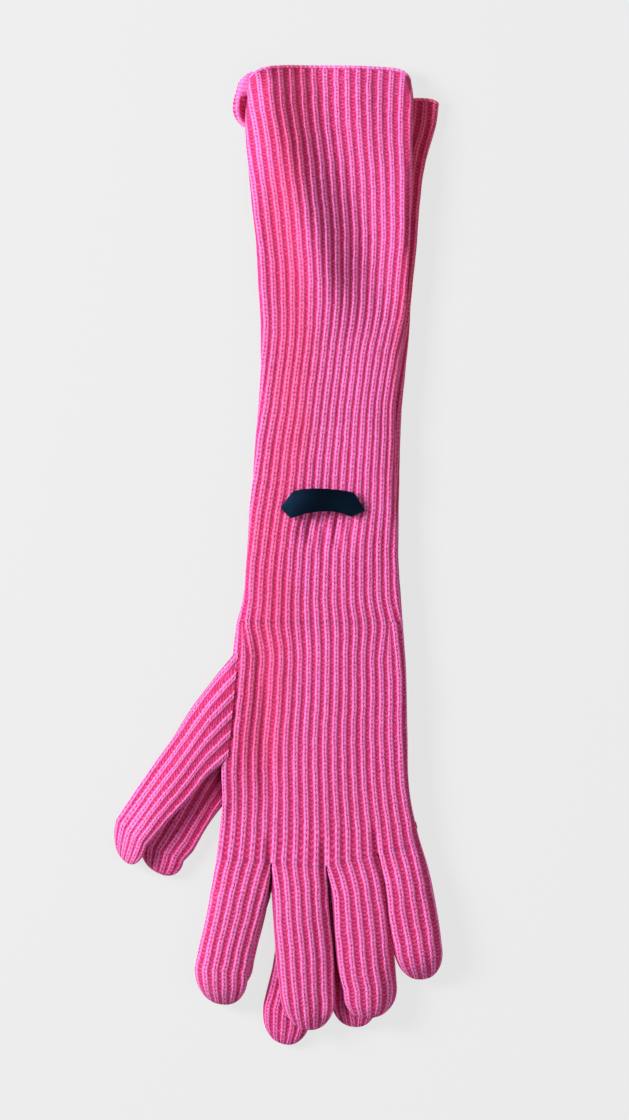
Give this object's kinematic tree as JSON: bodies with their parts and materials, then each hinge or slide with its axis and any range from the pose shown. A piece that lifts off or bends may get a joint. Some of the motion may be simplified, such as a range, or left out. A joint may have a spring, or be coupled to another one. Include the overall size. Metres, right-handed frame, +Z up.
{
  "type": "pair of gloves",
  "caption": "Pair of long rib-knit wool gloves, laid flat one on the other, with ribbed fingers, a wide ribbed cuff and a small bare woven label on the upper arm.",
  "frame": {"origin": "centre of the bounding box's underside, on the surface that the gloves lie on", "axes": "+Y along the gloves from the finger tips to the cuffs, +Z up from the surface, +X away from the side of the thumbs"},
  "size_m": [0.148, 0.441, 0.0162],
  "materials": {
    "upper_wool": "fuzzy hot-pink ribbed wool knit",
    "lower_wool": "fuzzy hot-pink ribbed wool knit, of the glove beneath",
    "label_satin": "very dark navy woven satin"
  },
  "bodies": {
    "root": {"upper_arm": "upper_wool", "upper_hand": "upper_wool", "upper_thumb": "upper_wool", "upper_index": "upper_wool", "upper_middle": "upper_wool", "upper_ring": "upper_wool", "upper_little": "upper_wool", "upper_cuff_corner": "upper_wool", "lower_arm": "lower_wool", "lower_hand": "lower_wool", "lower_thumb": "lower_wool", "lower_index": "lower_wool", "lower_middle": "lower_wool", "lower_ring": "lower_wool", "lower_little": "lower_wool", "label": "label_satin"}
  },
  "joints": []
}
